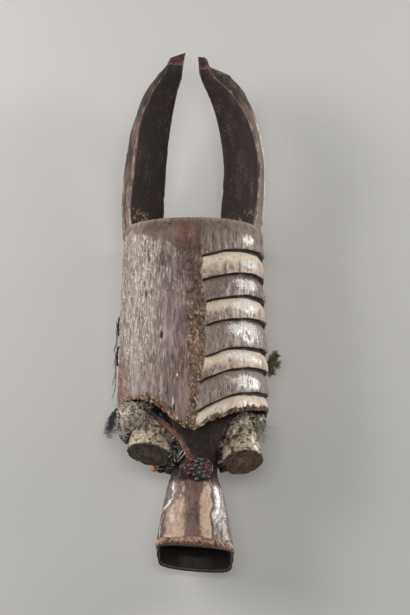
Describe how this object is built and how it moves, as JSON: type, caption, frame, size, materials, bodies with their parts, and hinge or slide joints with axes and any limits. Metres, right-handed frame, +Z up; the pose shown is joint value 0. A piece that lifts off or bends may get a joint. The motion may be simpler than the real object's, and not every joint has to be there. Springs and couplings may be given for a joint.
{
  "type": "horned helmet mask",
  "caption": "Carved wooden bush-cow helmet mask: vaulted dome with overlapping bands on one side, long incurving horns, tubular eyes bedded in resin, and an open flared muzzle.",
  "frame": {"origin": "centre of the mask's footprint, on the surface it lies on", "axes": "+Z up out of the dome's crown, -Y out of the muzzle, +Y along the horns, +X to the side with the overlapping bands"},
  "size_m": [0.21, 0.6444, 0.1363],
  "materials": {
    "dark_wood": "hand-adzed wood with a glossy dark brown patina, grey and cream pigment on the bands",
    "branch_wood": "round branch wood, chalky white crust on the sides, dark cut ends",
    "resin": "dark lumpy plant resin mixed with fibre and down",
    "seed_red": "glossy red seeds",
    "seed_grey": "glossy grey-green and black seeds",
    "dark_seed": "dark round seed",
    "amber": "amber-orange bead",
    "cord": "dark twisted plant-fibre cord",
    "dark_feather": "dark feathers",
    "olive_feather": "olive-brown feathers",
    "quill": "whitish feather quills"
  },
  "bodies": {
    "root": {"amber_bead": "amber", "dark_seed_near": "dark_seed", "flank_resin": "resin", "fringe_feather_1": "dark_feather", "fringe_feather_2": "dark_feather", "fringe_feather_3": "dark_feather", "fringe_feather_4": "dark_feather", "left_eye": "branch_wood", "left_eye_packing": "resin", "left_feathers": "dark_feather", "mask_body": "dark_wood", "right_eye": "branch_wood", "right_eye_packing": "resin", "right_feathers": "olive_feather", "rim_cord": "cord", "seed_01": "seed_grey", "seed_02": "seed_grey", "seed_03": "seed_grey", "seed_04": "seed_grey", "seed_05": "seed_grey", "seed_06": "seed_red", "seed_07": "seed_grey", "seed_08": "seed_grey", "seed_09": "seed_red", "seed_10": "seed_red", "seed_11": "seed_grey", "seed_12": "seed_grey", "seed_13": "seed_red", "seed_14": "seed_red", "seed_15": "seed_red", "seed_16": "seed_grey", "seed_17": "seed_red", "seed_18": "seed_grey", "seed_19": "seed_grey", "seed_pad": "resin", "white_quill_long": "quill", "white_quill_short": "quill"}
  },
  "joints": []
}
